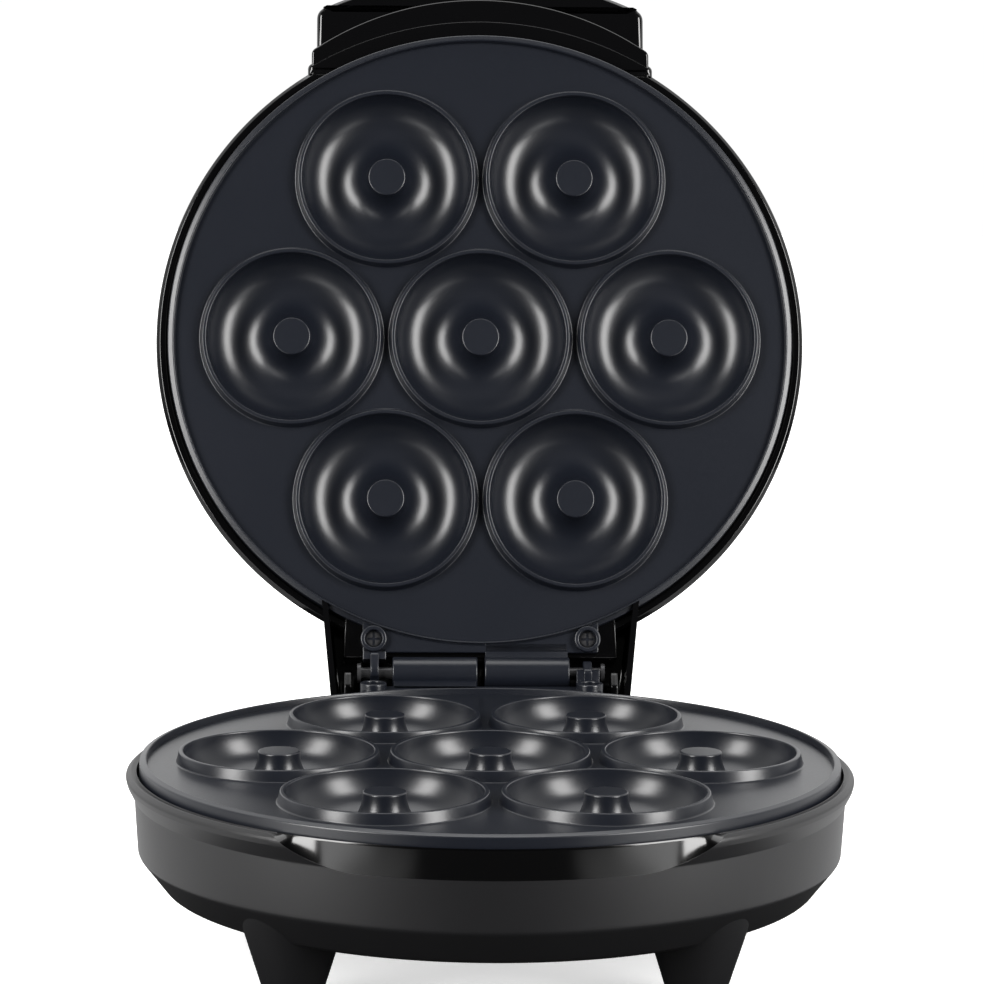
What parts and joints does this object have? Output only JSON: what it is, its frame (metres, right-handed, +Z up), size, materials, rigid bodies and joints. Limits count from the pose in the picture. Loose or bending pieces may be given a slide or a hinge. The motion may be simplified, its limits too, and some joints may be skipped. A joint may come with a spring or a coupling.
{
  "type": "donut maker",
  "caption": "Round table-top donut maker with a hinged lid, coated plates of ring-shaped cavities, front handle and stub legs.",
  "frame": {"origin": "on the table, under the middle of the open appliance's box, 51.8 mm behind the middle of the round base", "axes": "+Z up, -Y towards the user and the finger scoop, +Y towards the hinge, +X to the user's right"},
  "size_m": [0.2202, 0.3184, 0.292],
  "materials": {
    "base_plastic": "black plastic, satin sheen on the wall and slope, glossy in the finger scoop",
    "lid_plastic": "gloss black plastic",
    "base_plate_paint": "steel sheet with matt black paint",
    "rubber": "black rubber",
    "plate_coating": "cast aluminium with a dark satin non-stick coating",
    "element_steel": "steel, darkened by heat",
    "reflector_sheet": "bright thin sheet",
    "steel_fasteners": "zinc plated steel",
    "dark_screws": "blackened steel",
    "ceramic": "phenolic and steel thermostat body",
    "fuse_sleeve": "varnished glass fibre sleeve",
    "terminal_plastic": "heat resistant moulded plastic",
    "brass": "plain brass",
    "power_lens": "translucent red plastic",
    "ready_lens": "translucent green plastic",
    "lamp_glass": "clear glass"
  },
  "bodies": {
    "base": {"base_shell": "base_plastic", "bottom_cover": "base_plate_paint", "bottom_cover_screws": "steel_fasteners", "foot_pad_1": "rubber", "foot_pad_2": "rubber", "foot_pad_3": "rubber", "foot_pad_4": "rubber", "cord_gland": "rubber", "lower_plate": "plate_coating", "lower_heating_element": "element_steel", "lower_element_clips": "element_steel", "lower_clip_screws": "steel_fasteners", "lower_reflector": "reflector_sheet", "lower_reflector_screws": "steel_fasteners", "lower_plate_screws": "steel_fasteners", "lower_tab_screws": "dark_screws", "thermostat_bracket": "reflector_sheet", "thermostat": "ceramic", "thermal_fuse": "fuse_sleeve", "fuse_clamp": "reflector_sheet", "terminal_block": "terminal_plastic", "terminal_screws": "brass", "hinge_pin_left": "dark_screws", "hinge_pin_right": "dark_screws"},
    "lid": {"lid_shell": "lid_plastic", "handle": "lid_plastic", "handle_screws": "steel_fasteners", "upper_plate": "plate_coating", "upper_heating_element": "element_steel", "upper_element_clips": "element_steel", "upper_clip_screws": "steel_fasteners", "upper_reflector": "reflector_sheet", "upper_reflector_screws": "steel_fasteners", "upper_plate_screws": "steel_fasteners", "upper_tab_screws": "dark_screws", "power_lens": "power_lens", "ready_lens": "ready_lens", "lamp_holder": "terminal_plastic", "lamp_holder_screws": "steel_fasteners", "neon_lamps": "lamp_glass"}
  },
  "joints": [
    {"name": "lid_hinge", "type": "hinge", "parent": "base", "child": "lid", "pos_m": [0, 0.063, 0.06174], "axis": [1, 0, 0], "range_deg": [0, 107]}
  ]
}
